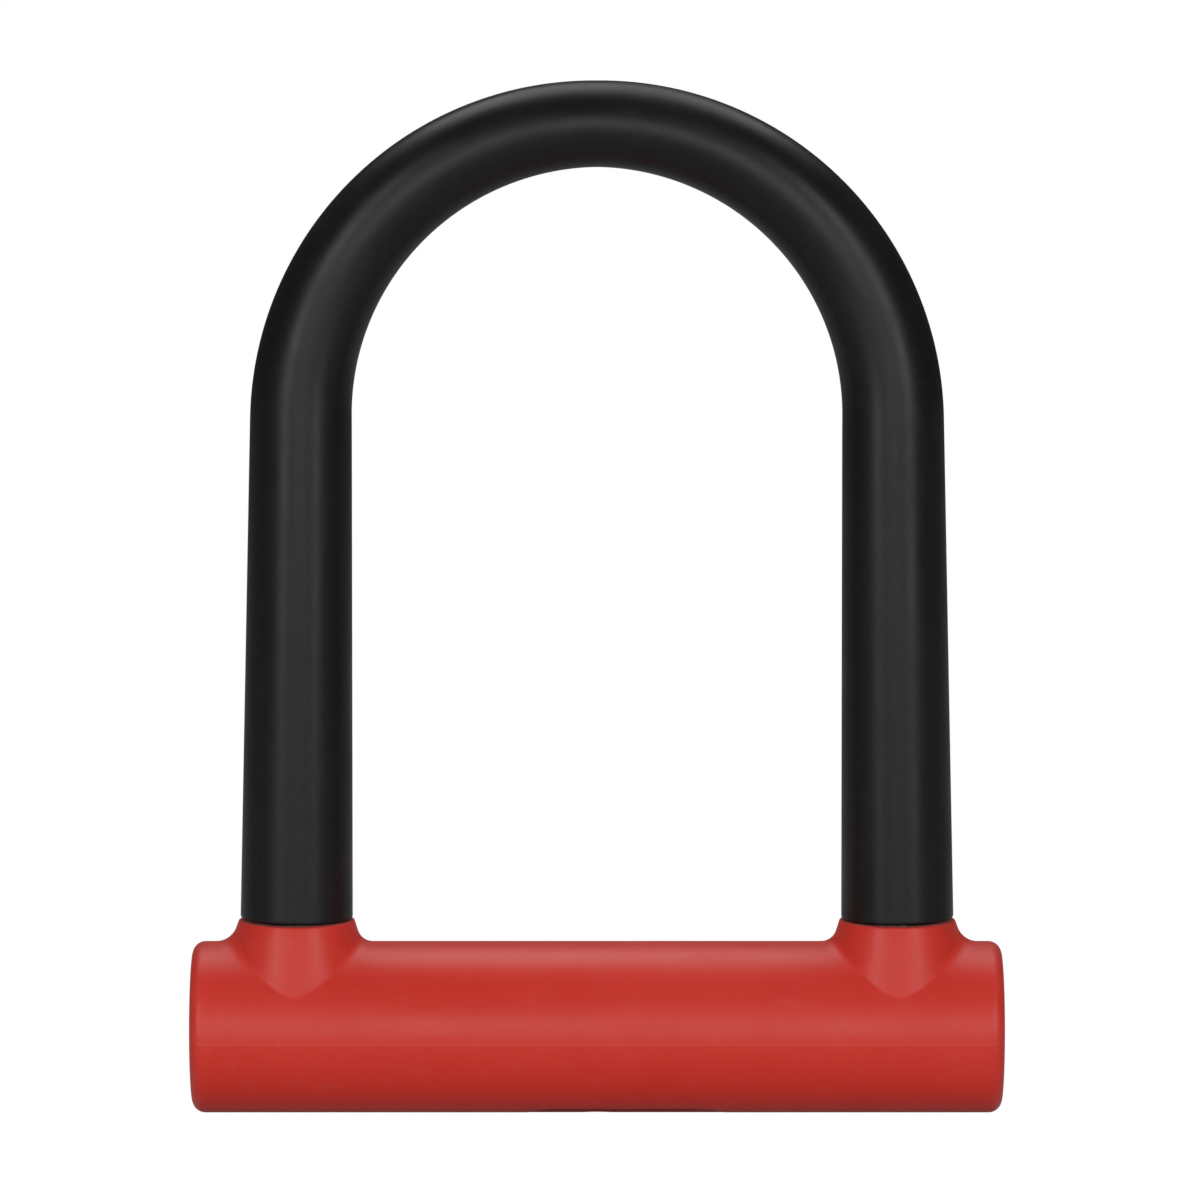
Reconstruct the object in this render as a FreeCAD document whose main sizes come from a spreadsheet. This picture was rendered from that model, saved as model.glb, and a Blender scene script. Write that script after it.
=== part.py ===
import FreeCAD, Part
import math
import os
import re

import PartDesign
import Sketcher
from FreeCAD import Placement, Rotation, Vector

# A bicycle U lock: a coated steel shackle whose two legs stand in a rubber-covered crossbar.
# The crossbar holds a disc-detainer cylinder, reached from its underside, whose cam throws two
# deadbolts outwards into the legs' notches. The lock is modelled closed and unlocked.
#
# Frame: the origin is the middle of the crossbar's axis, +X runs along the crossbar, +Z runs up
# the legs to the bow, and -Y is the front. Millimetres.

doc = FreeCAD.newDocument("u_lock")

# ---------------------------------------------------------------- driving sizes

SIZES = [
    # shackle
    ("rod_diameter", 14.0, "steel rod of the shackle"),
    ("leg_offset", 60.4, "crossbar's middle to a leg's axis, also the bow's radius"),
    ("leg_height", 124.35, "crossbar's axis to the bow's centre"),
    ("coat_foot", 4.46, "rubber coat's wall at the foot of a leg"),
    ("coat_spring", 3.33, "rubber coat's wall where the bow starts"),
    ("coat_crown", 1.75, "rubber coat's wall at the crown"),
    ("coat_bulge", 1.1, "power of the coat's taper round the bow"),
    ("foot_shift", 0.87, "outward shift of the coat and collar on the leg's foot"),
    ("bow_shift", 0.4, "inward shift of the coat on the bow"),
    ("coat_lip", 0.5, "rounded lower edge of the coat"),
    ("foot_gap", 0.4, "collar's rim to the coat's lower edge"),
    ("tip_chamfer", 1.2, "lead-in on a leg's tip"),
    # crossbar
    ("bar_diameter", 35.0, "crossbar over its rubber cover"),
    ("bar_overhang", 22.2, "leg's axis to the crossbar's end"),
    ("cover_wall", 2.5, "rubber cover's wall"),
    ("cover_end", 2.7, "rubber cover's closed end"),
    ("cover_round", 2.65, "rounded corner of the cover's end"),
    ("tube_wall", 2.5, "steel tube's wall"),
    ("collar_height", 4.7, "bar's top to the collar's rim"),
    ("collar_step", 0.45, "collar's rim wider than the coat, all round"),
    ("collar_tuck", 0.6, "bar's flank to the collar's foot, on the level of the bar's axis"),
    ("collar_blend", 2.4, "fillet between collar and bar"),
    ("rim_round", 0.5, "rounded edge of the collar's rim"),
    # clearances
    ("insert_gap", 0.15, "block to the tube's bore"),
    ("slide_gap", 0.35, "leg to the bore that it slides in"),
    ("moving_gap", 0.3, "between pieces that move past each other"),
    ("seat_gap", 0.05, "between pieces fixed in one another"),
    ("running_gap", 0.08, "key plug to its bore"),
    # blocks inside the tube
    ("end_plug_length", 5.3, "steel plug in the tube's end"),
    ("socket_shoulder", 5.8, "leg's flank to the socket block's inner end"),
    ("socket_side", 1.3, "socket's wall beside the leg's tip"),
    ("bush_wall", 1.35, "nylon bush's wall"),
    ("bush_foot", 2.6, "bush's seat below the tube's bore"),
    ("wiper_height", 1.3, "wiper ring's height"),
    ("wiper_sink", 0.3, "wiper ring below the collar's rim"),
    ("cross_pin", 3.0, "slotted spring pin's diameter"),
    ("cross_pin_wall", 0.7, "slotted spring pin's wall"),
    ("cross_pin_slot", 0.8, "slotted spring pin's slot"),
    ("socket_pin_level", 5.0, "socket's spring pins below the crossbar's axis"),
    ("carrier_pin_level", 6.0, "carrier's spring pins below the crossbar's axis"),
    # bolts and cam
    ("bolt_throw", 4.4, "travel of a deadbolt"),
    ("bolt_width", 11.0, "deadbolt across the tube"),
    ("bolt_thickness", 5.0, "deadbolt's height"),
    ("bolt_bevel", 1.0, "bevel on a deadbolt's nose"),
    ("bolt_rest_gap", 0.6, "retracted deadbolt to the leg's flank"),
    ("notch_gap", 0.6, "deadbolt to the notch's floor, roof and sill"),
    ("drive_pin", 2.6, "drive pin's diameter"),
    ("pin_rest", 4.0, "cam's axis to a drive pin, bolts retracted"),
    ("pin_edge", 2.2, "drive pin's axis to the deadbolt's inner end"),
    ("cam_thickness", 2.4, "cam plate's thickness"),
    ("cam_rim", 0.8, "cam plate outside its slots"),
    ("tail_width", 2.2, "plug's flat tail"),
    ("tail_length", 11.0, "plug's tail across the cam"),
    ("tail_angle", 57.0, "plug's tail from the X axis, degrees"),
    # cylinder
    ("housing_diameter", 20.0, "cylinder's fixed barrel"),
    ("plug_diameter", 13.2, "key plug"),
    ("plug_wall", 1.3, "key plug round its discs"),
    ("plug_roof", 1.2, "key plug above its discs"),
    ("mouth_sink", 2.1, "tube's surface to the barrel's inner lip"),
    ("mouth_diameter", 10.4, "barrel's mouth"),
    ("face_thickness", 1.0, "hardened face disc"),
    ("housing_rim", 0.2, "barrel above its snap ring"),
    ("keeper_reach", 1.3, "pocket in the barrel beyond the plug's wall"),
    ("disc_count", 6, "detainer discs"),
    ("disc_thickness", 1.1, "detainer disc"),
    ("spacer_thickness", 0.5, "spacer between two discs"),
    ("disc_play", 0.1, "disc to the plug's bore"),
    ("key_radius", 3.6, "half-moon keyway's radius"),
    ("key_flat", 0.1, "keyway's flat past its axis"),
    ("gate_width", 1.8, "disc's gate and the slot for the sidebar"),
    ("gate_depth", 1.0, "disc's gate"),
    ("sidebar_play", 0.15, "sidebar to its slot"),
    ("ring_height", 0.6, "snap ring above the plug"),
    ("ring_overlap", 0.5, "snap ring over the plug's edge"),
    ("ring_bite", 0.45, "snap ring in the barrel's groove"),
    ("drill_pin", 2.0, "hardened pin in the barrel's face"),
    ("drill_pin_length", 5.6, "hardened pin"),
    ("drill_pin_angle", 30.0, "hardened pins from the X axis, degrees"),
    ("lock_pin", 2.5, "pin that holds the barrel"),
    ("lock_pin_level", 7.0, "holding pins below the crossbar's axis"),
    # keyhole shutter
    ("bezel_width", 15.0, "shutter's frame across the bar"),
    ("bezel_left", 15.2, "cylinder's axis to the frame's near end"),
    ("bezel_right", 26.9, "cylinder's axis to the frame's far end"),
    ("bezel_lip", 0.8, "frame's wall over the shutter"),
    ("window_radius", 4.6, "hole in the frame over the keyway"),
    ("shutter_travel", 11.0, "shutter's slide"),
    ("shutter_front", 6.0, "cylinder's axis to the shutter's near end"),
    ("shutter_back", 10.5, "cylinder's axis to the shutter's far end"),
    ("shutter_width", 11.4, "shutter across the bar"),
    ("shutter_thickness", 1.0, "shutter's plate"),
    ("nub_offset", 2.8, "thumb nub before the cylinder's axis"),
    ("nub_length", 2.4, "thumb nub along the bar"),
    ("nub_width", 2.8, "thumb nub across the bar"),
    ("screw_diameter", 2.0, "frame's screws"),
    ("screw_head", 3.8, "frame's screw heads"),
    ("screw_slot", 0.5, "cross slot in a screw's head, width and depth"),
    ("screw_slot_length", 2.0, "cross slot from end to end"),
    ("screw_inset", 2.7, "screw's axis to the frame's end"),
]

# What follows from them: each is a formula, and may use the names above it.
PLACES = [
    ("rod_radius", "rod_diameter / 2"),
    ("bar_radius", "bar_diameter / 2"),
    ("bar_half", "leg_offset + bar_overhang"),
    ("collar_rim", "bar_radius + collar_height"),
    ("tube_radius", "bar_radius - cover_wall"),
    ("tube_bore", "tube_radius - tube_wall"),
    ("tube_half", "bar_half - cover_end"),
    ("block_radius", "tube_bore - insert_gap"),
    ("socket_bore", "rod_radius + slide_gap"),
    ("socket_floor", "sqrt(block_radius ^ 2 - (socket_bore + socket_side) ^ 2)"),
    ("tip_depth", "socket_floor - moving_gap"),
    ("socket_half", "rod_radius + socket_shoulder"),
    ("socket_inner", "leg_offset - socket_half"),
    ("block_end", "tube_half - end_plug_length"),
    ("bush_radius", "socket_bore + bush_wall"),
    ("bush_bottom", "tube_bore - bush_foot"),
    ("wiper_top", "collar_rim - wiper_sink"),
    ("bush_top", "wiper_top - wiper_height"),
    ("coat_bottom", "collar_rim + foot_gap"),
    ("foot_radius", "rod_radius + coat_foot"),
    ("spring_radius", "rod_radius + coat_spring"),
    ("crown_radius", "rod_radius + coat_crown"),
    ("rim_radius", "foot_radius + collar_step"),
    ("collar_base", "bar_radius - collar_tuck"),
    ("collar_taper", "atan((collar_base - rim_radius) / collar_rim)"),
    ("housing_radius", "housing_diameter / 2"),
    ("plug_radius", "plug_diameter / 2"),
    ("plug_bore", "plug_radius - plug_wall"),
    ("lip_top", "mouth_sink - tube_radius"),
    ("plug_face", "lip_top + moving_gap"),
    ("disc_pitch", "disc_thickness + spacer_thickness"),
    ("disc_radius", "plug_bore - disc_play"),
    ("stack_bottom", "plug_face + face_thickness"),
    ("stack_top", "stack_bottom + disc_count * disc_pitch"),
    ("plug_top", "stack_top + plug_roof"),
    ("ring_bottom", "plug_top + moving_gap"),
    ("ring_top", "ring_bottom + ring_height"),
    ("housing_top", "ring_top + housing_rim"),
    ("cam_bottom", "housing_top + 2 * moving_gap"),
    ("cam_top", "cam_bottom + cam_thickness"),
    ("channel_bottom", "cam_top + moving_gap"),
    ("bolt_bottom", "channel_bottom + moving_gap"),
    ("bolt_top", "bolt_bottom + bolt_thickness"),
    ("channel_top", "bolt_top + moving_gap"),
    ("channel_half", "bolt_width / 2 + moving_gap"),
    ("slot_half", "drive_pin / 2 + moving_gap"),
    ("cam_radius", "pin_rest + bolt_throw + slot_half + cam_rim"),
    ("bolt_tip", "leg_offset - rod_radius - bolt_rest_gap"),
    ("notch_floor", "bolt_tip + bolt_throw + notch_gap"),
    ("bezel_radius", "bar_radius - seat_gap"),
    ("track_radius", "bezel_radius - bezel_lip"),
    ("shutter_inner", "tube_radius + moving_gap + seat_gap"),
    ("shutter_outer", "shutter_inner + shutter_thickness"),
]

SIDES = [("left", -1), ("right", 1)]


def sheet_of(name, rows):
    """A spreadsheet with one named value a row."""
    sheet = doc.addObject("Spreadsheet::Sheet", name)
    for row, (alias, value, note) in enumerate(rows, start=1):
        sheet.set("A%d" % row, alias)
        sheet.set("B%d" % row, str(value))
        sheet.set("C%d" % row, note)
        sheet.setAlias("B%d" % row, alias)
    doc.recompute()
    return sheet


OWNER = {alias: "sizes." for alias, value, note in SIZES}


def formula(text):
    """The formula with each name's own sheet written before it."""
    return re.sub(r"[a-z]+(_[a-z]+)+", lambda word: OWNER[word.group()] + word.group(), str(text))


OWNER.update({alias: "" for alias, text in PLACES})
sizes = sheet_of("sizes", SIZES)
places = sheet_of("places", [(alias, "=" + formula(text), "worked out") for alias, text in PLACES])
OWNER.update({alias: "places." for alias, text in PLACES})


def size(alias):
    """A named value as a number."""
    sheet = places if OWNER[alias] == "places." else sizes
    return float(sheet.get(alias))


# ---------------------------------------------------------------- helpers

ALONG = {
    "X": Rotation(Vector(0, 1, 0), 90),
    "Y": Rotation(Vector(1, 0, 0), -90),
    "Z": Rotation(),
}
NODES = {}


def bind(thing, **formulas):
    """Tie properties to formulas; x, y and z are the thing's place."""
    for name, text in formulas.items():
        path = "Placement.Base." + name if name in ("x", "y", "z") else name
        thing.setExpression(path, formula(text))
    return thing


def cylinder(name, radius, height, along="Z", x=0, y=0, z=0):
    """A cylinder that starts at its place and runs along an axis."""
    thing = doc.addObject("Part::Cylinder", name)
    thing.Placement = Placement(Vector(), ALONG[along])
    return bind(thing, Radius=radius, Height=height, x=x, y=y, z=z)


def rod(name, radius, half, along="Z", x=0, y=0, z=0):
    """A cylinder whose middle is at its place."""
    start = {"X": x, "Y": y, "Z": z}[along]
    at = dict(x=x, y=y, z=z)
    at[along.lower()] = "(%s) - (%s)" % (start, half)
    return cylinder(name, radius, "2 * (%s)" % half, along, **at)


def ring(name, outer, inner, height, along="Z", x=0, y=0, z=0):
    """A straight tube that starts at its place."""
    return cut(name, cylinder(name + "_outside", outer, height, along, x, y, z),
               cylinder(name + "_inside", inner, height, along, x, y, z))


def box(name, x, y, z):
    """A box between two formulas along each axis."""
    thing = doc.addObject("Part::Box", name)
    lengths = ["(%s) - (%s)" % (high, low) for low, high in (x, y, z)]
    return bind(thing, Length=lengths[0], Width=lengths[1], Height=lengths[2], x=x[0], y=y[0], z=z[0])


def span(side, near, far):
    """The two ends, in rising order, of a stretch on the left or right of the middle."""
    ends = ["%d * (%s)" % (side, near), "%d * (%s)" % (side, far)]
    return ends if side > 0 else ends[::-1]


def both(half):
    """The two ends of a stretch about the middle."""
    return ["-(%s)" % half, half]


def fuse(name, *things):
    thing = doc.addObject("Part::MultiFuse", name)
    thing.Shapes = list(things)
    return thing


def cut(name, base, *tools):
    thing = doc.addObject("Part::Cut", name)
    thing.Base = base
    thing.Tool = tools[0] if len(tools) == 1 else fuse(name + "_cutters", *tools)
    return thing


def common(name, *things):
    thing = doc.addObject("Part::MultiCommon", name)
    thing.Shapes = list(things)
    return thing


def group(name, *things):
    """Identical pieces in one node, each a solid of its own."""
    thing = doc.addObject("Part::Compound", name)
    thing.Links = list(things)
    return thing


def node(thing, label):
    """A finished piece, written under its label."""
    thing.Label = label
    NODES[label] = thing
    return thing


def plane(body, role):
    return next(item for item in body.Origin.OriginFeatures if item.Role == role)


def sketch_on(body, name, role):
    sketch = body.newObject("Sketcher::SketchObject", name)
    sketch.AttachmentSupport = [(plane(body, role), "")]
    sketch.MapMode = "FlatFace"
    return sketch


def constrain(sketch, kind, *rest, to):
    """A driving dimension tied to a formula."""
    number = sketch.addConstraint(Sketcher.Constraint(kind, *rest))
    sketch.setExpression("Constraints[%d]" % number, formula(to))


def circle(sketch, radius, side=0, x=0):
    """A circle on the sketch's horizontal axis, to the left or right of the origin."""
    at = side * size_of(x)
    item = sketch.addGeometry(Part.Circle(Vector(at, 0, 0), Vector(0, 0, 1), size_of(radius)))
    constrain(sketch, "Radius", item, size_of(radius), to=radius)
    sketch.addConstraint(Sketcher.Constraint("PointOnObject", item, 3, -1))
    if side == 0:
        sketch.addConstraint(Sketcher.Constraint("PointOnObject", item, 3, -2))
    elif side > 0:
        constrain(sketch, "DistanceX", -1, 1, item, 3, at, to=x)
    else:
        constrain(sketch, "DistanceX", item, 3, -1, 1, -at, to=x)
    return item


def size_of(text):
    """A formula's number now, read through a cell of the second sheet."""
    if isinstance(text, (int, float)):
        return float(text)
    if text in OWNER:
        return size(text)
    places.set("E1", "=" + formula(text))
    places.recompute()
    return float(places.get("E1"))


def feature(body, kind, name, sketch, **formulas):
    """A PartDesign feature of a sketch, with its sizes tied to formulas."""
    thing = body.newObject("PartDesign::" + kind, name)
    thing.Profile = sketch
    return bind(thing, **formulas)


def edges_where(thing, test):
    """Names of the edges of a feature whose edge passes a test."""
    return ["Edge%d" % number for number, edge in enumerate(thing.Shape.Edges, start=1) if test(edge)]


def rounded(body, name, base, test, radius):
    """A fillet on the edges that pass a test."""
    doc.recompute()
    thing = body.newObject("PartDesign::Fillet", name)
    thing.Base = (base, edges_where(base, test))
    return bind(thing, Radius=radius)


# ---------------------------------------------------------------- shackle

def shackle_core():
    """Bent steel rod: two legs and a half-circle bow, chamfered tips, one milled notch a leg."""
    body = doc.addObject("PartDesign::Body", "shackle_core_body")
    path = sketch_on(body, "shackle_path", "XZ_Plane")
    offset, height, tip = size("leg_offset"), size("leg_height"), -size("tip_depth")
    right = path.addGeometry(Part.LineSegment(Vector(offset, tip, 0), Vector(offset, height, 0)))
    bow = path.addGeometry(Part.ArcOfCircle(
        Part.Circle(Vector(0, height, 0), Vector(0, 0, 1), offset), 0, math.pi))
    left = path.addGeometry(Part.LineSegment(Vector(-offset, height, 0), Vector(-offset, tip, 0)))
    path.addConstraint(Sketcher.Constraint("Vertical", right))
    path.addConstraint(Sketcher.Constraint("Vertical", left))
    path.addConstraint(Sketcher.Constraint("Tangent", right, 2, bow, 1))
    path.addConstraint(Sketcher.Constraint("Tangent", bow, 2, left, 1))
    path.addConstraint(Sketcher.Constraint("PointOnObject", bow, 3, -2))
    path.addConstraint(Sketcher.Constraint("Horizontal", right, 1, left, 2))
    constrain(path, "Radius", bow, offset, to="leg_offset")
    constrain(path, "DistanceY", -1, 1, bow, 3, height, to="leg_height")
    constrain(path, "DistanceY", right, 1, -1, 1, -tip, to="tip_depth")
    section = sketch_on(body, "rod_section", "XY_Plane")
    circle(section, "rod_radius", 1, "leg_offset")
    bind(section, **{"AttachmentOffset.Base.z": "-tip_depth"})
    pipe = body.newObject("PartDesign::AdditivePipe", "bent_rod")
    pipe.Profile = section
    pipe.Spine = (path, ["Edge1", "Edge2", "Edge3"])
    doc.recompute()
    tips = body.newObject("PartDesign::Chamfer", "leg_tips")
    tips.Base = (pipe, edges_where(pipe, lambda edge: edge.BoundBox.ZMax < tip + 0.01))
    bind(tips, Size="tip_chamfer")
    body.Tip = tips
    notches = [box("notch_" + name,
                   span(side, "leg_offset - rod_diameter", "notch_floor"),
                   both("rod_diameter"),
                   ["bolt_bottom - notch_gap", "bolt_top + notch_gap"])
               for name, side in SIDES]
    return cut("notched_rod", body, *notches)


def shackle_sleeve(core):
    """Moulded rubber coat: thickest at the feet, thinnest at the crown, open at both ends."""
    def section(name, radius, shift, turn=None, z="leg_height"):
        thing = doc.addObject("Part::Circle", name)
        reach = "(leg_offset + %s)" % shift
        angle = 0 if turn is None else turn
        thing.Placement = Placement(Vector(), Rotation(Vector(0, 1, 0), -angle))
        bind(thing, Radius=radius, x="%s * cos(%s)" % (reach, angle),
             z="%s + %s * sin(%s)" % (z, reach, angle))
        return thing

    steps = 12
    sections = []
    for step in range(steps + 1):
        turn = 180.0 * step / steps
        part = "abs(1 - %s / 90)" % turn
        radius = "crown_radius + (spring_radius - crown_radius) * %s ^ coat_bulge" % part
        sections.append(section("bow_%02d" % step, radius, "(0 - bow_shift)", turn))
    bow = doc.addObject("Part::Loft", "coat_bow")
    bow.Sections = sections
    bow.Solid = True
    legs = []
    for (name, side), top in zip(SIDES, (sections[-1], sections[0])):
        foot = section("foot_" + name, "foot_radius", "foot_shift", z="coat_bottom")
        bind(foot, x="%d * (leg_offset + foot_shift)" % side)
        start = section("spring_" + name, "spring_radius", "(0 - bow_shift)")
        bind(start, x="%d * (leg_offset - bow_shift)" % side)
        leg = doc.addObject("Part::Loft", "coat_leg_" + name)
        leg.Sections = [foot, start]
        leg.Solid = True
        leg.Ruled = True
        legs.append(leg)
    coat = fuse("coat_solid", bow, *legs)
    doc.recompute()
    lips = doc.addObject("Part::Fillet", "coat_lips")
    lips.Base = coat
    bottom = size("coat_bottom") + 0.01
    lips.Edges = [(number, size("coat_lip"), size("coat_lip"))
                  for number, edge in enumerate(coat.Shape.Edges, start=1) if edge.BoundBox.ZMax < bottom]
    return cut("coat_skin", lips, core)


# ---------------------------------------------------------------- crossbar's skin and tube

def pin_level(place):
    """Where a pair of spring pins is: distance from the middle and depth below the bar's axis."""
    return {
        "plug": ("block_end + end_plug_length / 2", "0"),
        "socket": ("socket_inner + cross_pin", "socket_pin_level"),
        "carrier": ("socket_inner - 3 * cross_pin", "carrier_pin_level"),
    }[place]


def pin_holes(tag, *names):
    """Cutters for the spring pins that cross the tube from front to back."""
    holes = []
    for place in names:
        reach, depth = pin_level(place)
        for name, side in SIDES:
            holes.append(rod("%s_hole_%s_%s" % (tag, place, name), "cross_pin / 2", "bar_radius", "Y",
                             x="%d * (%s)" % (side, reach), z="0 - " + depth))
    return holes


def bezel_outline(name, grow):
    """A straight-sided plate with round ends, standing below the crossbar's axis."""
    half = "(bezel_width / 2 + %s)" % grow
    low, high = "-2 * bar_radius", "0"
    middle = box(name + "_middle", ["-bezel_left + bezel_width / 2", "bezel_right - bezel_width / 2"],
                 both(half), [low, high])
    near = cylinder(name + "_near", half, "2 * bar_radius", x="-bezel_left + bezel_width / 2",
                    z="-2 * bar_radius")
    far = cylinder(name + "_far", half, "2 * bar_radius", x="bezel_right - bezel_width / 2",
                   z="-2 * bar_radius")
    return fuse(name, middle, near, far)


def crossbar_cover():
    """Moulded rubber skin: round bar with closed ends and a conical collar round each leg."""
    body = doc.addObject("PartDesign::Body", "crossbar_cover_body")
    round_bar = sketch_on(body, "bar_circle", "YZ_Plane")
    circle(round_bar, "bar_radius")
    bar = feature(body, "Pad", "bar", round_bar, Length="2 * bar_half")
    bar.Midplane = True
    half = size("bar_half")
    ends = rounded(body, "bar_ends", bar,
                   lambda edge: abs(edge.BoundBox.XMax - edge.BoundBox.XMin) < 0.01
                   and abs(abs(edge.BoundBox.XMax) - half) < 0.01, "cover_round")
    feet = sketch_on(body, "collar_feet", "XY_Plane")
    for name, side in SIDES:
        circle(feet, "collar_base", side, "leg_offset + foot_shift")
    collars = feature(body, "Pad", "collars", feet, Length="collar_rim", TaperAngle="-collar_taper")
    rim = size("collar_rim")
    radius = size("bar_radius")

    def at_root(edge):
        middle = edge.valueAt((edge.FirstParameter + edge.LastParameter) / 2)
        on_bar = abs(math.hypot(middle.y, middle.z) - radius) < 0.01
        inside = abs(middle.x) < half - size("cover_round") - 0.01
        return on_bar and inside and middle.z > 0.5 and edge.BoundBox.YLength > 1

    blend = rounded(body, "collar_roots", collars, at_root, "collar_blend")
    rims = rounded(body, "collar_rims", blend, lambda edge: edge.BoundBox.ZMin > rim - 0.01, "rim_round")
    body.Tip = rims
    inside = rod("cover_inside", "tube_radius", "tube_half", "X")
    wells = [cylinder("collar_well_" + name, "bush_radius", "collar_rim + 1", x="%d * leg_offset" % side)
             for name, side in SIDES]
    window = bezel_outline("cover_window", "seat_gap")
    return cut("hollow_cover", body, inside, window, *wells)


def crossbar_tube():
    """Steel tube with holes for the legs, the cylinder, the spring pins and the frame's screws."""
    tube = rod("tube_outside", "tube_radius", "tube_half", "X")
    bore = rod("tube_inside", "tube_bore", "tube_half + 1", "X")
    legs = [cylinder("tube_leg_hole_" + name, "bush_radius + seat_gap", "bar_radius",
                     x="%d * leg_offset" % side) for name, side in SIDES]
    mouth = cylinder("tube_cylinder_hole", "housing_radius + 2 * seat_gap", "bar_radius", z="-bar_radius")
    screws = [cylinder("tube_screw_hole_%d" % number, "screw_diameter / 2", "bar_radius", x=place,
                       z="-bar_radius") for number, place in enumerate(screw_places())]
    pins = pin_holes("tube", "plug", "socket", "carrier")
    locks = lock_pin_bars("tube_lock_hole")
    return cut("drilled_tube", tube, bore, mouth, *legs, *screws, *pins, *locks)


def end_plug(name, side):
    """Turned steel plug that closes the tube's end, held by a spring pin."""
    body = doc.addObject("PartDesign::Body", "end_plug_body_" + name)
    face = sketch_on(body, "end_plug_circle_" + name, "YZ_Plane")
    circle(face, "block_radius")
    bind(face, **{"AttachmentOffset.Base.z": "%d * block_end" % side})
    pad = feature(body, "Pad", "end_plug_pad_" + name, face, Length="end_plug_length")
    pad.Reversed = side < 0
    body.Tip = pad
    hole = rod("end_plug_hole_" + name, "cross_pin / 2", "bar_radius", "Y",
               x="%d * (%s)" % (side, pin_level("plug")[0]))
    puller = cylinder("end_plug_thread_" + name, "cross_pin / 2", "end_plug_length + 1", "X",
                      x="block_end" if side > 0 else "-block_end - end_plug_length - 1")
    return cut("end_plug_drilled_" + name, body, hole, puller)


# ---------------------------------------------------------------- blocks inside the tube

def leg_socket(name, side):
    """Block that a leg stands in, with a window for the deadbolt."""
    block = rod("socket_block_" + name, "block_radius", "socket_half - seat_gap", "X",
                x="%d * leg_offset" % side)
    well = cylinder("socket_well_" + name, "socket_bore", "2 * tube_radius", x="%d * leg_offset" % side,
                    z="-socket_floor")
    seat = cylinder("socket_seat_" + name, "bush_radius + seat_gap", "tube_radius",
                    x="%d * leg_offset" % side, z="bush_bottom")
    window = box("socket_window_" + name, span(side, "socket_inner - 1", "leg_offset"),
                 both("channel_half"), ["channel_bottom", "channel_top"])
    reach, depth = pin_level("socket")
    hole = rod("socket_hole_" + name, "cross_pin / 2", "bar_radius", "Y",
               x="%d * (%s)" % (side, reach), z="0 - " + depth)
    return cut("socket_cut_" + name, block, well, seat, window, hole)


def leg_bush(name, side):
    """Nylon bush that lines the collar and seats in the socket."""
    return ring("bush_ring_" + name, "bush_radius", "socket_bore", "bush_top - bush_bottom",
                x="%d * leg_offset" % side, z="bush_bottom")


def leg_wipers():
    """Rubber wiper ring on top of each bush."""
    return group("wiper_rings", *[
        ring("wiper_ring_" + name, "bush_radius", "socket_bore - seat_gap", "wiper_height",
             x="%d * leg_offset" % side, z="bush_top") for name, side in SIDES])


def lock_pin_bars(tag):
    """The two pins that cross the tube and bite into the barrel's flanks."""
    half = "sqrt(tube_radius ^ 2 - (lock_pin_level + lock_pin / 2) ^ 2) - seat_gap"
    return [rod("%s_%s" % (tag, name), "lock_pin / 2", half, "Y",
                x="%d * (housing_radius - lock_pin / 4)" % side, z="-lock_pin_level")
            for name, side in SIDES]


def bolt_carrier(name, side):
    """Die-cast half block: seats the barrel and the cam, and guides a deadbolt."""
    block = cylinder("carrier_block_" + name, "block_radius", "socket_inner - 2 * seat_gap - moving_gap", "X",
                     x="moving_gap" if side > 0 else "2 * seat_gap - socket_inner")
    seat = cylinder("carrier_seat_" + name, "housing_radius + 2 * seat_gap",
                    "tube_radius + cam_bottom", z="-tube_radius")
    pocket = cylinder("carrier_pocket_" + name, "cam_radius + moving_gap",
                      "channel_bottom - cam_bottom + moving_gap", z="cam_bottom - moving_gap")
    channel = box("carrier_channel_" + name, span(side, "0", "socket_inner + 1"),
                  both("channel_half"), ["channel_bottom", "channel_top"])
    relief = box("carrier_relief_" + name,
                 span(side, "housing_radius + 2 * lock_pin", "socket_inner - 5 * cross_pin"),
                 both("channel_half"), ["-tube_radius", "-lock_pin_level / 2"])
    reach, depth = pin_level("carrier")
    hole = rod("carrier_hole_" + name, "cross_pin / 2", "bar_radius", "Y",
               x="%d * (%s)" % (side, reach), z="0 - " + depth)
    locks = lock_pin_bars("carrier_lock_hole_" + name)
    return cut("carrier_cut_" + name, block, seat, pocket, channel, relief, hole, *locks)


def roll_pins():
    """Slotted spring pins that fix the plugs, sockets and carriers in the tube."""
    pins = []
    for place in ("plug", "socket", "carrier"):
        reach, depth = pin_level(place)
        level = "0 - " + depth
        half = "sqrt(tube_radius ^ 2 - (%s + cross_pin / 2) ^ 2) - seat_gap" % depth
        for name, side in SIDES:
            tag = "pin_%s_%s" % (place, name)
            x = "%d * (%s)" % (side, reach)
            wall = rod(tag + "_wall", "cross_pin / 2", half, "Y", x=x, z=level)
            bore = rod(tag + "_bore", "cross_pin / 2 - cross_pin_wall", half + " + 1", "Y", x=x, z=level)
            slot = box(tag + "_slot", ["%s - cross_pin_slot / 2" % x, "%s + cross_pin_slot / 2" % x],
                       both("bar_radius"), [level, "%s + cross_pin" % level])
            pins.append(cut(tag, wall, bore, slot))
    return group("roll_pin_set", *pins)


# ---------------------------------------------------------------- deadbolts and cam

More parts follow.
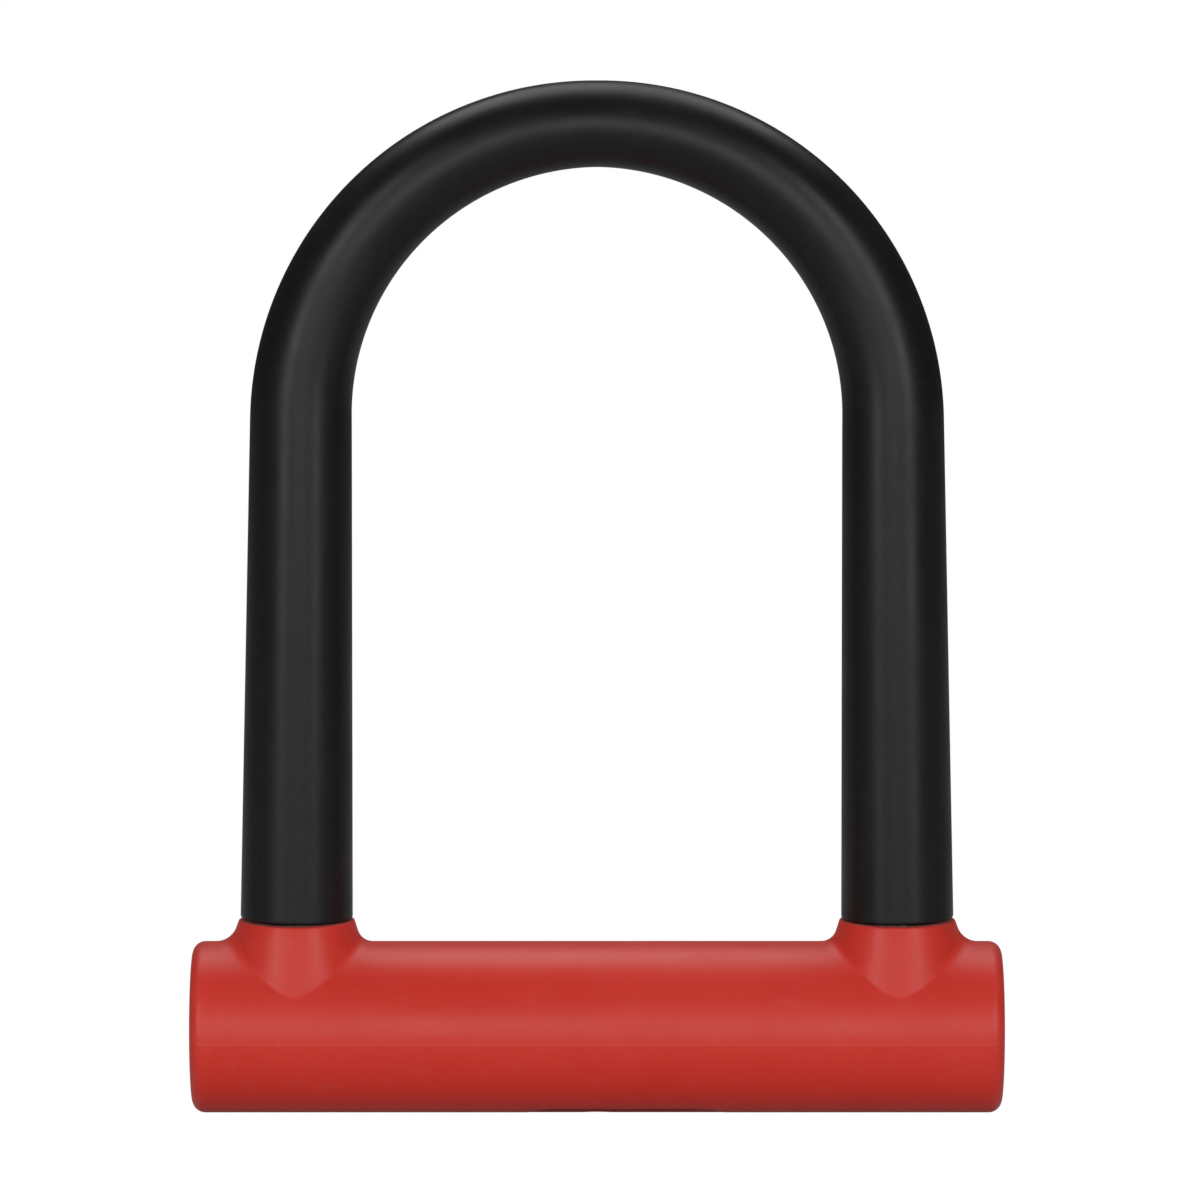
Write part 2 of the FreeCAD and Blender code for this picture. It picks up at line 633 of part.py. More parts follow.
def deadbolt(name, side):
    """Flat steel bolt with a drilled tail for its drive pin and a bevelled nose."""
    inner, outer = "pin_rest - pin_edge", "bolt_tip"
    bar = box("bolt_bar_" + name, span(side, inner, outer), both("bolt_width / 2"),
              ["bolt_bottom", "bolt_top"])
    doc.recompute()
    nose = doc.addObject("Part::Chamfer", "bolt_nose_" + name)
    nose.Base = bar
    tip = side * size("bolt_tip")
    bevel = size("bolt_bevel")
    nose.Edges = [(number, bevel, bevel) for number, edge in enumerate(bar.Shape.Edges, start=1)
                  if abs(edge.CenterOfMass.x - tip) < 0.01 and edge.BoundBox.ZLength > 1]
    hole = cylinder("bolt_hole_" + name, "drive_pin / 2", "2 * bolt_thickness",
                    x="%d * pin_rest" % side, z="bolt_bottom - 1")
    return cut("bolt_drilled_" + name, nose, hole)


def drive_pin(name, side):
    """Hardened pin, pressed in the bolt's tail, that runs in the cam's slot."""
    return cylinder("drive_pin_rod_" + name, "drive_pin / 2", "bolt_top - cam_bottom - moving_gap",
                    x="%d * pin_rest" % side, z="cam_bottom + moving_gap")


def cam_slot(name, start):
    """Cutter for a spiral slot: its radius grows evenly while the cam turns by a quarter."""
    rest, throw, half = size("pin_rest"), size("bolt_throw"), size("slot_half")
    growth = throw / (math.pi / 2)
    level, depth = size("cam_bottom") - 1, size("cam_thickness") + 2

    def spine(turn):
        radius = rest + growth * turn
        angle = math.radians(start) - turn
        return Vector(radius * math.cos(angle), radius * math.sin(angle), level)

    def sideways(turn):
        step = 1e-4
        along = spine(turn + step) - spine(turn - step)
        return Vector(-along.y, along.x, 0).normalize() * half

    turns = [math.pi / 2 * step / 12 for step in range(13)]
    walls = []
    for sign in (1, -1):
        curve = Part.BSplineCurve()
        curve.interpolate([spine(turn) + sideways(turn) * sign for turn in turns])
        walls.append(curve.toShape())
    caps = []
    for turn, outwards in ((turns[0], -1), (turns[-1], 1)):
        beyond = sideways(turn).cross(Vector(0, 0, 1)) * outwards
        caps.append(Part.Arc(spine(turn) + sideways(turn), spine(turn) + beyond,
                             spine(turn) - sideways(turn)).toShape())
    outline = Part.Wire([walls[0], caps[1], walls[1], caps[0]])
    thing = doc.addObject("Part::Feature", name)
    thing.Shape = Part.Face(outline).extrude(Vector(0, 0, depth))
    return thing


def tail_blade(name, play, bottom, top):
    """The plug's flat tail, turned to its angle about the cam's axis."""
    blade = box(name, both("tail_length / 2 + %s" % play), both("tail_width / 2 + %s" % play), [bottom, top])
    turn = size("tail_angle")
    holder = doc.addObject("Part::Compound", name + "_turned")
    holder.Links = [blade]
    holder.Placement = Placement(Vector(), Rotation(Vector(0, 0, 1), turn))
    bind(holder, **{"Placement.Rotation.Angle": "tail_angle"})
    return holder


def cam_plate():
    """Steel disc with two spiral slots for the drive pins and a slot for the plug's tail."""
    disc = cylinder("cam_disc", "cam_radius", "cam_thickness", z="cam_bottom")
    slots = [cam_slot("cam_slot_right", 0), cam_slot("cam_slot_left", 180)]
    tail = tail_blade("cam_tail_slot", "seat_gap", "cam_bottom - 1", "cam_top + 1")
    return cut("cam_cut", disc, tail, *slots)


# ---------------------------------------------------------------- lock cylinder

def sidebar_slot(name, near, bottom, top, reach="plug_radius + 1"):
    """Cutter for the sidebar's slot, at the back of the plug."""
    return box(name, both("gate_width / 2"), [near, reach], [bottom, top])


def cylinder_housing():
    """Brass barrel whose mouth follows the tube's round surface, with a lip under the plug."""
    barrel = cylinder("barrel", "housing_radius", "housing_top + tube_radius", z="-tube_radius")
    round_tube = rod("barrel_contour", "tube_radius", "housing_diameter", "X")
    shaped = common("barrel_shaped", barrel, round_tube)
    bore = cylinder("barrel_bore", "plug_radius + running_gap", "2 * tube_radius", z="lip_top")
    mouth = cylinder("barrel_mouth", "mouth_diameter / 2", "tube_radius", z="-tube_radius")
    groove = cylinder("barrel_groove", "plug_radius + ring_bite", "ring_height", z="ring_bottom")
    keeper = box("barrel_keeper", ["-plug_radius - keeper_reach", "0"], both("gate_width / 2"),
                 ["stack_bottom", "stack_top"])
    locks = lock_pin_bars("barrel_lock_hole")
    return cut("barrel_cut", shaped, bore, mouth, groove, keeper, *drill_pin_rods("barrel_drill_hole"), *locks)


def drill_pin_rods(tag):
    """The hardened pins pressed into the barrel's face, or the holes for them."""
    reach = "((plug_radius + running_gap + housing_radius) / 2)"
    rods = []
    for number, turn in enumerate(("drill_pin_angle", "180 - drill_pin_angle",
                                   "180 + drill_pin_angle", "-drill_pin_angle")):
        rods.append(cylinder("%s_%d" % (tag, number), "drill_pin / 2", "drill_pin_length",
                             x="%s * cos(%s)" % (reach, turn), y="%s * sin(%s)" % (reach, turn),
                             z="lip_top - seat_gap"))
    return rods


def half_moon(name, bottom, top):
    """The key's path: a half-moon on the front side of the plug's axis."""
    full = cylinder(name + "_round", "key_radius", "(%s) - (%s)" % (top, bottom), z=bottom)
    front = box(name + "_front", both("2 * key_radius"), ["-2 * key_radius", "key_flat"], [bottom, top])
    return common(name, full, front)


def key_plug():
    """Steel plug: a cup for the discs, slotted for the sidebar, with a flat tail."""
    outside = cylinder("plug_outside", "plug_radius", "plug_top - plug_face", z="plug_face")
    tail = tail_blade("plug_tail", "0", "plug_top - seat_gap", "cam_top - seat_gap")
    whole = fuse("plug_whole", outside, tail)
    cup = cylinder("plug_cup", "plug_bore", "stack_top - plug_face", z="plug_face")
    slot = sidebar_slot("plug_slot", "0", "stack_bottom", "stack_top")
    return cut("plug_cut", whole, cup, slot)


def face_disc():
    """Hardened disc behind the barrel's mouth, with the half-moon keyhole."""
    disc = cylinder("face_disc_round", "disc_radius", "face_thickness", z="plug_face")
    return cut("face_disc_cut", disc, half_moon("face_keyhole", "plug_face - 1", "stack_bottom + 1"))


def disc_level(number):
    return "stack_bottom + %d * disc_pitch" % number


def detainer_discs():
    """Detainer discs, their gates lined up under the sidebar."""
    discs = []
    for number in range(round(size("disc_count"))):
        bottom = disc_level(number)
        disc = cylinder("disc_round_%d" % number, "disc_radius", "disc_thickness", z=bottom)
        hole = half_moon("disc_keyhole_%d" % number, bottom + " - 1", bottom + " + disc_pitch")
        gate = sidebar_slot("disc_gate_%d" % number, "disc_radius - gate_depth", bottom + " - 1",
                            bottom + " + disc_pitch")
        discs.append(cut("disc_%d" % number, disc, hole, gate))
    return group("disc_set", *discs)


def disc_spacers():
    """Thin washers that keep the discs apart, each open on the sidebar's side."""
    washers = []
    for number in range(round(size("disc_count"))):
        bottom = disc_level(number) + " + disc_thickness"
        washer = ring("washer_round_%d" % number, "disc_radius", "key_radius + disc_play",
                      "spacer_thickness", z=bottom)
        gate = sidebar_slot("washer_gate_%d" % number, "key_radius", bottom + " - 1",
                            bottom + " + disc_pitch")
        washers.append(cut("washer_%d" % number, washer, gate))
    return group("washer_set", *washers)


def sidebar():
    """Small bar sunk in the discs' gates, flush with the plug."""
    return box("sidebar_bar", both("gate_width / 2 - sidebar_play"),
               ["disc_radius - gate_depth + sidebar_play", "plug_radius - sidebar_play"],
               ["stack_bottom + sidebar_play", "stack_top - sidebar_play"])


def plug_snap_ring():
    """Snap ring in the barrel's groove that keeps the plug down."""
    whole = ring("snap_ring_whole", "plug_radius + ring_bite", "plug_radius - ring_overlap", "ring_height",
                 z="ring_bottom")
    gap = box("snap_ring_gap", both("gate_width / 2"), ["-2 * plug_radius", "0"],
              ["ring_bottom - 1", "ring_top + 1"])
    return cut("snap_ring_cut", whole, gap)


# ---------------------------------------------------------------- keyhole frame and shutter

def screw_places():
    return ["screw_inset - bezel_left", "bezel_right - screw_inset"]


def bezel_screw(number, place, tag):
    """Countersunk screw from the frame's face into the tube's wall."""
    shank = cylinder("%s_shank_%d" % (tag, number), "screw_diameter / 2", "bezel_radius - tube_bore",
                     x=place, z="-bezel_radius")
    head = doc.addObject("Part::Cone", "%s_head_%d" % (tag, number))
    bind(head, Radius1="screw_head / 2", Radius2="screw_diameter / 2",
         Height="(screw_head - screw_diameter) / 2", x=place, z="-bezel_radius + 2 * seat_gap")
    return fuse("%s_%d" % (tag, number), shank, head)


def bezel_screws():
    """The frame's two screws, each with a cross slot."""
    def across(length, place):
        return ["%s - %s / 2" % (place, length), "%s + %s / 2" % (place, length)]

    screws = []
    for number, place in enumerate(screw_places()):
        whole = bezel_screw(number, place, "frame_screw")
        face = "-bezel_radius + 2 * seat_gap"
        trim = box("frame_screw_trim_%d" % number, both("bar_half"), both("bar_radius"),
                   ["-2 * bar_radius", face])
        slots = [box("frame_screw_slot_%d_%d" % (number, turn), *sides, ["-bar_radius", face + " + screw_slot"])
                 for turn, sides in enumerate((
                     (across("screw_slot_length", place), both("screw_slot / 2")),
                     (across("screw_slot", place), both("screw_slot_length / 2"))))]
        screws.append(cut("frame_screw_cut_%d" % number, whole, trim, *slots))
    return group("frame_screw_set", *screws)


def keyhole_bezel():
    """Moulded frame, curved like the bar, with a track for the shutter and a slot for its nub."""
    shell = ring("bezel_shell", "bezel_radius", "tube_radius", "2 * bar_half", "X", x="-bar_half")
    plate = common("bezel_plate", shell, bezel_outline("bezel_edge", "0"))
    window = cylinder("bezel_window", "window_radius", "bar_radius", z="-bar_radius - 1")
    slot_end = "(shutter_travel - nub_offset + nub_length / 2)"
    slot_half_width = "nub_width / 2 + moving_gap"
    slot = box("bezel_slot", ["0", slot_end], both(slot_half_width), ["-bar_radius - 1", "-tube_bore"])
    slot_round = cylinder("bezel_slot_end", slot_half_width, "bar_radius", x=slot_end, z="-bar_radius - 1")
    sweep = ring("bezel_track_ring", "track_radius", "tube_bore",
                 "shutter_front + shutter_back + shutter_travel + 2 * moving_gap", "X",
                 x="-shutter_front - moving_gap")
    lane = box("bezel_track_lane", both("bar_half"), both("shutter_width / 2 + moving_gap"),
               ["-bar_radius", "0"])
    track = common("bezel_track", sweep, lane)
    screws = [bezel_screw(number, place, "bezel_screw_hole") for number, place in enumerate(screw_places())]
    return cut("bezel_cut", plate, window, slot, slot_round, track, *screws)


def keyhole_shutter():
    """Curved sliding plate over the keyway, with a thumb nub."""
    band = ring("shutter_band", "shutter_outer", "shutter_inner", "shutter_front + shutter_back", "X",
                x="-shutter_front")
    lane = box("shutter_lane", both("bar_half"), both("shutter_width / 2"), ["-bar_radius", "0"])
    plate = common("shutter_plate", band, lane)
    nub_ring = ring("shutter_nub_ring", "bezel_radius - moving_gap", "shutter_inner + moving_gap", "nub_length",
                    "X", x="-nub_offset - nub_length / 2")
    nub_lane = box("shutter_nub_lane", both("bar_half"), both("nub_width / 2"), ["-bar_radius", "0"])
    nub = common("shutter_nub", nub_ring, nub_lane)
    return fuse("shutter_whole", plate, nub)


# ---------------------------------------------------------------- assembly

core = node(shackle_core(), "shackle_core")
node(shackle_sleeve(core), "shackle_sleeve")
node(crossbar_cover(), "crossbar_cover")
node(crossbar_tube(), "crossbar_tube")
for hand, side in SIDES:
    node(end_plug(hand, side), "end_plug_" + hand)
    node(leg_socket(hand, side), "leg_socket_" + hand)
    node(leg_bush(hand, side), "leg_bush_" + hand)
    node(bolt_carrier(hand, side), "bolt_carrier_" + hand)
    node(deadbolt(hand, side), "deadbolt_" + hand)
    node(drive_pin(hand, side), "drive_pin_" + hand)
node(leg_wipers(), "leg_wipers")
node(roll_pins(), "roll_pins")
node(group("lock_pin_set", *lock_pin_bars("lock_pin_rod")), "cylinder_pins")
node(cam_plate(), "cam_plate")
node(cylinder_housing(), "cylinder_housing")
node(group("drill_pin_set", *drill_pin_rods("drill_pin_rod")), "anti_drill_pins")
node(key_plug(), "key_plug")
node(face_disc(), "face_disc")
node(detainer_discs(), "detainer_discs")
node(disc_spacers(), "disc_spacers")
node(sidebar(), "sidebar")
node(plug_snap_ring(), "plug_snap_ring")
node(keyhole_bezel(), "keyhole_bezel")
node(bezel_screws(), "bezel_screws")
node(keyhole_shutter(), "keyhole_shutter")

doc.recompute()
faults = [thing.Name for thing in doc.Objects if "Invalid" in thing.State or "Error" in thing.State]
for label, thing in NODES.items():
    if thing.Shape.isNull() or not thing.Shape.isValid() or not thing.Shape.Solids:
        faults.append(label)
if faults:
    raise RuntimeError("failed objects: " + ", ".join(faults))

os.makedirs("parts", exist_ok=True)
for label, thing in NODES.items():
    thing.Shape.exportStep(os.path.join("parts", label + ".step"))
    print("%-20s %2d solids %10.1f mm3" % (label, len(thing.Shape.Solids), thing.Shape.Volume))
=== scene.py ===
import math

import bmesh
import bpy
import numpy as np
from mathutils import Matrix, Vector
from mathutils.geometry import delaunay_2d_cdt


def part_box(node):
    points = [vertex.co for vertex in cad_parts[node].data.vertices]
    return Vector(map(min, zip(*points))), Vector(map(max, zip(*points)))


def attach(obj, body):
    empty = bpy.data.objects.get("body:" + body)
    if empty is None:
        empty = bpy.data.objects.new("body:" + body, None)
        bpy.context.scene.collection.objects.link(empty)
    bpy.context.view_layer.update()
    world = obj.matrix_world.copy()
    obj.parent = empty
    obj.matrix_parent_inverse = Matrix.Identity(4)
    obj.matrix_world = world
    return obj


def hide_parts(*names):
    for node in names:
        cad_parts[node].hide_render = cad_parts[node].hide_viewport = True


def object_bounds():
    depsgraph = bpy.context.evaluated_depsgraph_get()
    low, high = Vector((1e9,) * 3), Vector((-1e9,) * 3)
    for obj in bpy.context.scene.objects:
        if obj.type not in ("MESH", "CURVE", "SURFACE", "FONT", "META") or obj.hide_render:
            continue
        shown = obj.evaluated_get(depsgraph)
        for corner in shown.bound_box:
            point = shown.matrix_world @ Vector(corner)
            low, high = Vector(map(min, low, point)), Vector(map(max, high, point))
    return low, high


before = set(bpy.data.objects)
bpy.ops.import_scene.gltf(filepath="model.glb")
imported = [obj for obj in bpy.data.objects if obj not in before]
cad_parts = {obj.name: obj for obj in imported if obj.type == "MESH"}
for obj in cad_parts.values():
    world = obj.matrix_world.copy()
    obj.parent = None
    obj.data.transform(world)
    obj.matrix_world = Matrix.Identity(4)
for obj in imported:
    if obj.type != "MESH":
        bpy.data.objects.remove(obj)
cad_low, cad_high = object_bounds()
mm = 0.001


# ------------------------------------------------------------------ camera and stage
# A long lens, a little above the lock, looks straight at its front. The lock stands upright
# on a plain pale floor.

camera_distance = 1.54
camera_height = 0.252
aim_height = 0.08768
camera_data = bpy.data.cameras.new("camera")
camera_data.lens = 228.7
camera_data.shift_x = 0.0025
camera = bpy.data.objects.new("camera", camera_data)
bpy.context.scene.collection.objects.link(camera)
bpy.context.scene.camera = camera
camera.location = (0, -camera_distance, camera_height)
gaze = Vector((0, 0, aim_height)) - camera.location
camera.rotation_euler = gaze.to_track_quat("-Z", "Y").to_euler()
bpy.context.scene.view_settings.view_transform = "Standard"


def make_object(name, vertices, faces):
    """A smooth mesh object at the origin, its seams merged."""
    mesh = bpy.data.meshes.new(name)
    mesh.from_pydata([tuple(point) for point in vertices], [], [tuple(face) for face in faces])
    mesh.validate()
    piece = bpy.data.objects.new(name, mesh)
    bpy.context.scene.collection.objects.link(piece)
    work = bmesh.new()
    work.from_mesh(mesh)
    bmesh.ops.remove_doubles(work, verts=work.verts, dist=1e-6)
    bmesh.ops.recalc_face_normals(work, faces=work.faces)
    for face in work.faces:
        face.smooth = True
    work.to_mesh(mesh)
    work.free()
    return piece


floor_reach = 12.0
signs = ((-1, -1), (1, -1), (1, 1), (-1, 1))
corners = [(x * floor_reach, y * floor_reach, cad_low.z) for x, y in signs]
floor = make_object("floor", corners, [(0, 1, 2, 3)])


def new_material(name):
    """A material with its node tree, nodes and shader."""
    material = bpy.data.materials.new(name)
    material.use_nodes = True
    tree = material.node_tree
    return material, tree, tree.nodes["Principled BSDF"]


def link(tree, source, target):
    tree.links.new(source, target)


paper, tree, shader = new_material("pale_floor")
shader.inputs["Base Color"].default_value = (0.48, 0.48, 0.48, 1)
shader.inputs["Roughness"].default_value = 0.9
glow = tree.nodes.new("ShaderNodeEmission")
glow.inputs["Color"].default_value = (1, 1, 1, 1)
seen = tree.nodes.new("ShaderNodeLightPath")
blend = tree.nodes.new("ShaderNodeMixShader")
link(tree, seen.outputs["Is Camera Ray"], blend.inputs[0])
link(tree, shader.outputs[0], blend.inputs[1])
link(tree, glow.outputs[0], blend.inputs[2])
link(tree, blend.outputs[0], tree.nodes["Material Output"].inputs["Surface"])
floor.data.materials.append(paper)

world = bpy.data.worlds.new("studio")
bpy.context.scene.world = world
world.use_nodes = True
world.node_tree.nodes["Background"].inputs["Color"].default_value = (1, 1, 1, 1)
world.node_tree.nodes["Background"].inputs["Strength"].default_value = 0.05

light_aim_height = 0.09


def softbox(name, azimuth, elevation, distance, width, height, radiance):
    """A rectangular light that faces the lock; radiance is what a mirror would show."""
    data = bpy.data.lights.new(name, "AREA")
    data.shape = "RECTANGLE"
    data.size = width
    data.size_y = height
    data.energy = radiance * math.pi * width * height
    light = bpy.data.objects.new(name, data)
    bpy.context.scene.collection.objects.link(light)
    turn, tilt = math.radians(azimuth), math.radians(elevation)
    aim = Vector((0, 0, light_aim_height))
    light.location = aim + distance * Vector((
        math.sin(turn) * math.cos(tilt), -math.cos(turn) * math.cos(tilt), math.sin(tilt)))
    light.rotation_euler = (aim - light.location).to_track_quat("-Z", "Y").to_euler()


softbox("strip_left", -36, 10, 1.9, 0.4, 1.5, 6.0)
softbox("strip_right", 36, 10, 1.9, 0.4, 1.5, 6.0)
softbox("front_fill", 0, 7, 2.6, 1.8, 1.0, 2.6)
softbox("top_back", 180, 66, 1.5, 1.8, 1.1, 2.1)


# ------------------------------------------------------------------ crossbar cover
# The crossbar's skin is one thick moulding of red silicone rubber, pulled over the steel tube.
# A conical collar flares into the bar round each leg, both ends are closed, and the mould's
# halves leave a fine raised line along the front and the back.

cover_low, cover_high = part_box("crossbar_cover")
sleeve_low, sleeve_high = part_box("shackle_sleeve")
bush_low, bush_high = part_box("leg_bush_right")
tube_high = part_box("crossbar_tube")[1]
bezel_low, bezel_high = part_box("keyhole_bezel")
bar_radius = -cover_low.z
bar_half = cover_high.x
rim_level = cover_high.z
tube_radius = tube_high.z
leg_x = (bush_low.x + bush_high.x) / 2
well_radius = (bush_high.x - bush_low.x) / 2
collar_shift = 0.87 * mm
collar_x = leg_x + collar_shift
rim_overhang = 0.45 * mm
rim_radius = sleeve_high.x - collar_x + rim_overhang
collar_foot = bar_radius
collar_slope = (collar_foot - rim_radius) / rim_level
search_limit = 0.96 * bar_radius
rim_round = 0.5 * mm
mouth_bevel = 0.25 * mm
corner = 2.65 * mm
skin_pitch = 1.0 * mm
inside_pitch = 3.0 * mm
hole_margin = 0.35 * mm
around_collar = 160
parting = math.radians(93.5)
parting_height = 0.05 * mm
parting_width = 0.17 * mm
parting_rows = (-2.4, -1.4, -0.7, 0, 0.7, 1.4, 2.4)
row_clearance = 0.9 * mm
window_gap = 0.06 * mm
window_half = bezel_high.y + window_gap
window_left = bezel_low.x - window_gap + window_half
window_right = bezel_high.x + window_gap - window_half
window_lip = 0.8 * mm
seam_angle = math.radians(-80)


def parting_ridge(angle):
    """Height of the mould's line at an angle round the bar, from the top towards the front."""
    away = (abs((angle + math.pi) % (2 * math.pi) - math.pi) - parting) * bar_radius
    return parting_height * math.exp(-(away / parting_width) ** 2)


def on_bar(x, angle, radius, ridge=0.0):
    """A point round the bar's axis, its angle taken from the top towards the front."""
    reach = radius + ridge
    return (x, -reach * math.sin(angle), reach * math.cos(angle))


def collar_profile(turn):
    """Points of one collar at a direction round its leg, from the rim's outer edge to the bar."""
    side = math.sin(turn)
    low, high = rim_radius, search_limit
    for halving in range(50):
        middle = (low + high) / 2
        cone = rim_level - (middle - rim_radius) / collar_slope
        bar = math.sqrt(max(bar_radius ** 2 - (middle * side) ** 2, 0))
        low, high = (middle, high) if cone > bar else (low, middle)
    meet = np.array((low, math.sqrt(bar_radius ** 2 - (low * side) ** 2)))
    reach = (0.5 + 2.6 * math.cos(turn) ** 4 + 0.5 * math.cos(turn) ** 3) * mm
    up = np.array((-collar_slope, 1.0))
    up /= np.linalg.norm(up)
    top = meet + up * reach
    fall = meet[0] * side ** 2 / meet[1]
    out = meet[0] + reach / math.hypot(1, fall)
    foot = np.array((out, math.sqrt(bar_radius ** 2 - (out * side) ** 2)))
    points = []
    rim_steps, flank_steps, blend_steps = 5, 5, 9
    slope_turn = math.atan(collar_slope)
    centre = np.array((rim_radius - rim_round, rim_level - rim_round))
    for step in range(rim_steps + 1):
        tilt = math.pi / 2 - (math.pi / 2 - slope_turn) * step / rim_steps
        points.append(centre + rim_round * np.array((math.cos(tilt), math.sin(tilt))))
    start = points[-1]
    for step in range(1, flank_steps + 1):
        points.append(start + (top - start) * step / flank_steps)
    sharpness = 0.42
    first, second = meet + (top - meet) * sharpness, meet + (foot - meet) * sharpness
    for step in range(1, blend_steps + 1):
        part = step / blend_steps
        points.append((1 - part) ** 3 * top + 3 * part * (1 - part) ** 2 * first
                      + 3 * part ** 2 * (1 - part) * second + part ** 3 * foot)
    return points


def collar_column(turn, side):
    """One collar's profile in space, from the rim to the bar, on the left or right of the bar."""
    return [(side * (collar_x + distance * math.cos(turn)), distance * math.sin(turn), level)
            for distance, level in collar_profile(turn)]


turns = [2 * math.pi * step / around_collar for step in range(around_collar)]
foot_reach = np.array([collar_profile(turn)[-1][0] for turn in turns] + [collar_profile(0)[-1][0]])
foot_turns = np.array(turns + [2 * math.pi])


def in_window(x, y, grow):
    """Whether a point of the bar's plan lies in the keyhole frame's opening."""
    away = x - min(max(x, window_left), window_right)
    return math.hypot(away, y) < window_half + grow


def window_loop():
    """The keyhole frame's outline in the bar's plan, once round."""
    loop = []
    bend, straight = 28, 14
    for step in range(bend + 1):
        tilt = -math.pi / 2 + math.pi * step / bend
        loop.append((window_right + window_half * math.cos(tilt), window_half * math.sin(tilt)))
    for step in range(1, straight):
        loop.append((window_right + (window_left - window_right) * step / straight, window_half))
    for step in range(bend + 1):
        tilt = math.pi / 2 + math.pi * step / bend
        loop.append((window_left + window_half * math.cos(tilt), window_half * math.sin(tilt)))
    for step in range(1, straight):
        loop.append((window_left + (window_right - window_left) * step / straight, -window_half))
    return loop


def unrolled_skin(radius, half, pitch, collar_loops, in_collar, ridge_rows):
    """The bar's round wall as a net of triangles, unrolled while the holes are left out of it."""
    points, edges = [], []

    def add_loop(loop):
        first = len(points)
        points.extend(loop)
        edges.extend((first + step, first + (step + 1) % len(loop)) for step in range(len(loop)))

    def unroll(x, y, z):
        angle = math.atan2(-y, z)
        if angle < seam_angle:
            angle += 2 * math.pi
        return (x, angle * radius)

    for loop in collar_loops:
        add_loop([unroll(*point) for point in loop])
    add_loop([unroll(x, y, -math.sqrt(radius ** 2 - y ** 2)) for x, y in window_loop()])
    count = round(2 * math.pi * radius / pitch)
    rows = [seam_angle + 2 * math.pi * step / count for step in range(count + 1)]
    for line in ridge_rows:
        rows = [row for row in rows if abs(row - line) * radius > row_clearance]
        rows += [line + offset * parting_width / radius for offset in parting_rows]
    rows.sort()
    columns = np.linspace(-half, half, round(2 * half / pitch) + 1)
    for angle in rows:
        for x in columns:
            place = on_bar(x, angle, radius)
            if in_collar(place, hole_margin):
                continue
            if place[2] < 0 and in_window(place[0], place[1], hole_margin):
                continue
            points.append((float(x), angle * radius))
    everything, weld = 0, 1e-7
    result = delaunay_2d_cdt([Vector(point) for point in points], edges, [], everything, weld)
    flat, faces = result[0], result[2]
    vertices = [on_bar(point.x, point.y / radius, radius,
                       parting_ridge(point.y / radius) if ridge_rows else 0.0) for point in flat]
    kept = []
    for face in faces:
        x = sum(flat[corner_point].x for corner_point in face) / 3
        angle = sum(flat[corner_point].y for corner_point in face) / 3 / radius
        place = on_bar(x, angle, radius)
        if in_collar(place, 0) or (place[2] < 0 and in_window(place[0], place[1], 0)):
            continue
        kept.append(tuple(face))
    return vertices, kept, rows


def under_collar(place, grow):
    """Whether a point of the bar's wall lies inside the foot of a collar."""
    x, y, z = place
    if z < 0:
        return False
    turn = math.atan2(y, abs(x) - collar_x) % (2 * math.pi)
    return math.hypot(abs(x) - collar_x, y) < np.interp(turn, foot_turns, foot_reach) + grow


def over_well(place, grow):
    """Whether a point of the bar's inner wall lies in the well of a leg."""
    x, y, z = place
    return z > 0 and math.hypot(abs(x) - leg_x, y) < well_radius + grow


vertices, faces = [], []


def add_net(net_vertices, net_faces):
    """Faces with their own vertices, added to the cover."""
    first = len(vertices)
    vertices.extend(net_vertices)
    faces.extend(tuple(first + corner_point for corner_point in face) for face in net_faces)


def add_strips(columns, closed=True):
    """Quads between neighbouring columns of points; a closed set joins its last to its first."""
    first, length = len(vertices), len(columns[0])
    for column in columns:
        vertices.extend(column)
    count = len(columns)
    for step in range(count if closed else count - 1):
        here, there = first + step * length, first + (step + 1) % count * length
        for row in range(length - 1):
            faces.append((here + row, there + row, there + row + 1, here + row + 1))


straight_half = bar_half - corner
collar_feet = [[collar_column(turn, side)[-1] for turn in turns] for side in (-1, 1)]
outer = unrolled_skin(bar_radius, straight_half, skin_pitch, collar_feet, under_collar,
                      [parting, 2 * math.pi - parting])
add_net(outer[0], outer[1])

well_loops = []
for side in (-1, 1):
    loop, columns = [], []
    for turn in turns:
        x, y = side * (leg_x + well_radius * math.cos(turn)), well_radius * math.sin(turn)
        inner = (x, y, math.sqrt(tube_radius ** 2 - y ** 2))
        lip = (x, y, rim_level - mouth_bevel)
        mouth = (side * (leg_x + (well_radius + mouth_bevel) * math.cos(turn)),
                 (well_radius + mouth_bevel) * math.sin(turn), rim_level)
        loop.append(inner)
        columns.append([inner, lip, mouth] + collar_column(turn, side))
    well_loops.append(loop)
    add_strips(columns)

tube_end = tube_high.x
inside = unrolled_skin(tube_radius, tube_end, inside_pitch, well_loops, over_well, [])
add_net(inside[0], inside[1])

window_walls = (bar_radius, bar_radius - window_lip, tube_radius)
add_strips([[(x, y, -math.sqrt(radius ** 2 - y ** 2)) for radius in window_walls]
            for x, y in window_loop()])

corner_steps = 8
for side in (-1, 1):
    columns = []
    for angle in outer[2]:
        column = []
        ridge = parting_ridge(angle)
        for step in range(corner_steps + 1):
            tilt = math.pi / 2 * step / corner_steps
            fade = ridge * math.cos(tilt)
            column.append(on_bar(side * (straight_half + corner * math.sin(tilt)), angle,
                                 bar_radius - corner + corner * math.cos(tilt), fade))
        for share in (0.8, 0.55, 0.3, 0.1, 0.0):
            column.append(on_bar(side * bar_half, angle, (bar_radius - corner) * share))
        columns.append(column)
    add_strips(columns, closed=False)
    columns = [[on_bar(side * tube_end, angle, tube_radius * share) for share in (1.0, 0.5, 0.0)]
               for angle in inside[2]]
    add_strips(columns, closed=False)

cover = make_object("silicone_cover", vertices, faces)


